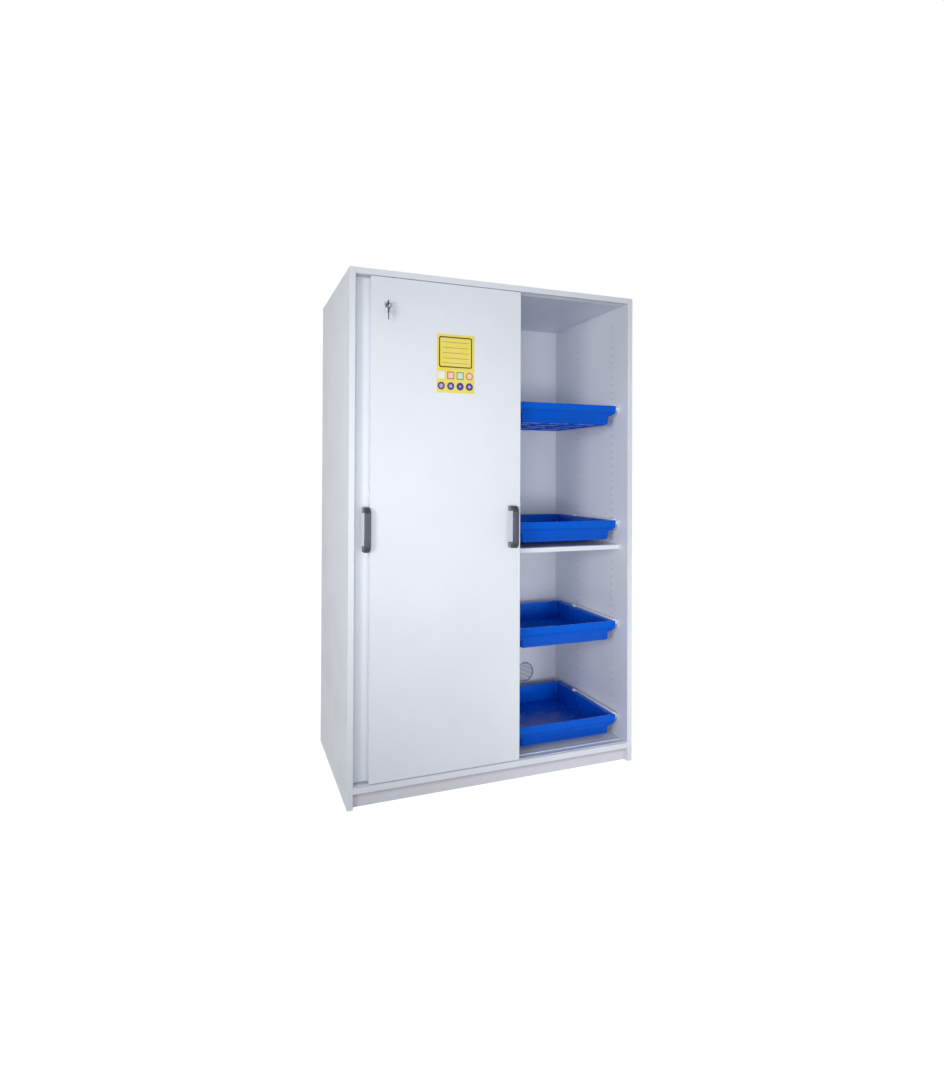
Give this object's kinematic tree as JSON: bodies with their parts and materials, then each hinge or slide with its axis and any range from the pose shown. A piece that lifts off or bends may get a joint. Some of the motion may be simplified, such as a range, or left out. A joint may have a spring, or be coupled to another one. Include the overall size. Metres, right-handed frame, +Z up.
{
  "type": "corrosive storage cabinet",
  "caption": "Tall two-door sliding cabinet with pull-out blue trays on roller slides behind the doors.",
  "frame": {"origin": "on the floor, at the middle of the whole outline with the handles", "axes": "+Z up, -Y out of the doors, +X to the right of someone facing the doors"},
  "size_m": [1.2, 0.651, 1.93],
  "materials": {
    "coated_board": "white laminate over board",
    "tray_blue": "moulded, glossy",
    "slide_white": "white coated sheet",
    "track_white": "extruded, satin",
    "handle_grey": "moulded, satin",
    "fitting_grey": "moulded",
    "wheel_nylon": "nylon",
    "lock_chrome": "polished",
    "key_steel": "nickel plated",
    "card_yellow": "printed card",
    "vent_white": "moulded"
  },
  "bodies": {
    "carcass": {"side_panel_left": "coated_board", "side_panel_right": "coated_board", "top_panel": "coated_board", "bottom_panel": "coated_board", "back_panel": "coated_board", "plinth": "coated_board", "upright_left": "coated_board", "upright_right": "coated_board", "centre_filler": "coated_board", "shelf_left": "coated_board", "shelf_right": "coated_board", "top_track": "track_white", "bottom_track": "track_white", "vent_grille": "vent_white", "right_rails": "slide_white", "left_rails": "slide_white", "left_tray_1": "tray_blue", "left_tray_2": "tray_blue", "left_tray_3": "tray_blue", "left_tray_4": "tray_blue", "left_runners_1": "slide_white", "left_runners_2": "slide_white", "left_runners_3": "slide_white", "left_runners_4": "slide_white"},
    "rear_door": {"rear_door": "coated_board", "rear_handle": "handle_grey", "rear_carriages": "fitting_grey", "rear_guides": "fitting_grey", "lock_catch": "key_steel"},
    "rear_wheel_left": {"rear_wheel_left": "wheel_nylon"},
    "rear_wheel_right": {"rear_wheel_right": "wheel_nylon"},
    "front_door": {"front_door": "coated_board", "front_handle": "handle_grey", "front_carriages": "fitting_grey", "front_guides": "fitting_grey", "label_card": "card_yellow", "lock_barrel": "lock_chrome"},
    "front_wheel_left": {"front_wheel_left": "wheel_nylon"},
    "front_wheel_right": {"front_wheel_right": "wheel_nylon"},
    "lock_key": {"lock_plug": "lock_chrome", "lock_cam": "key_steel", "key": "key_steel"},
    "ring_and_spare": {"key_ring": "key_steel", "spare_key": "key_steel"},
    "tray_1": {"right_tray_1": "tray_blue", "right_runners_1": "slide_white"},
    "tray_2": {"right_tray_2": "tray_blue", "right_runners_2": "slide_white"},
    "tray_3": {"right_tray_3": "tray_blue", "right_runners_3": "slide_white"},
    "tray_4": {"right_tray_4": "tray_blue", "right_runners_4": "slide_white"}
  },
  "joints": [
    {"name": "rear_door_slide", "type": "slide", "parent": "carcass", "child": "rear_door", "axis": [1, 0, 0], "range_m": [0, 0.0015]},
    {"name": "front_door_slide", "type": "slide", "parent": "carcass", "child": "front_door", "axis": [-1, 0, 0], "range_m": [-0.497, 0]},
    {"name": "rear_wheel_left_spin", "type": "hinge", "parent": "rear_door", "child": "rear_wheel_left", "pos_m": [-0.501, -0.234, 0.0913], "axis": [0, 1, 0], "continuous": true},
    {"name": "rear_wheel_right_spin", "type": "hinge", "parent": "rear_door", "child": "rear_wheel_right", "pos_m": [-0.051, -0.234, 0.0913], "axis": [0, 1, 0], "continuous": true},
    {"name": "front_wheel_left_spin", "type": "hinge", "parent": "front_door", "child": "front_wheel_left", "pos_m": [-0.446, -0.263, 0.0913], "axis": [0, -1, 0], "continuous": true},
    {"name": "front_wheel_right_spin", "type": "hinge", "parent": "front_door", "child": "front_wheel_right", "pos_m": [0.004, -0.263, 0.0913], "axis": [0, -1, 0], "continuous": true},
    {"name": "key_turn", "type": "hinge", "parent": "front_door", "child": "lock_key", "pos_m": [-0.463, -0.2725, 1.806], "axis": [0, -1, 0], "range_deg": [0, 90]},
    {"name": "key_ring_swing", "type": "hinge", "parent": "lock_key", "child": "ring_and_spare", "pos_m": [-0.463, -0.297, 1.806], "axis": [-1, 0, 0], "range_deg": [-10, 35]},
    {"name": "tray_1_slide", "type": "slide", "parent": "carcass", "child": "tray_1", "axis": [0, -1, 0], "range_m": [0, 0.24]},
    {"name": "tray_2_slide", "type": "slide", "parent": "carcass", "child": "tray_2", "axis": [0, -1, 0], "range_m": [0, 0.24]},
    {"name": "tray_3_slide", "type": "slide", "parent": "carcass", "child": "tray_3", "axis": [0, -1, 0], "range_m": [0, 0.24]},
    {"name": "tray_4_slide", "type": "slide", "parent": "carcass", "child": "tray_4", "axis": [0, -1, 0], "range_m": [0, 0.24]}
  ],
  "couplings": [
    {"joint": "rear_wheel_left_spin", "follows": "rear_door_slide", "rad_per_m": 83.333},
    {"joint": "rear_wheel_right_spin", "follows": "rear_door_slide", "rad_per_m": 83.333},
    {"joint": "front_wheel_left_spin", "follows": "front_door_slide", "rad_per_m": 83.333},
    {"joint": "front_wheel_right_spin", "follows": "front_door_slide", "rad_per_m": 83.333}
  ]
}
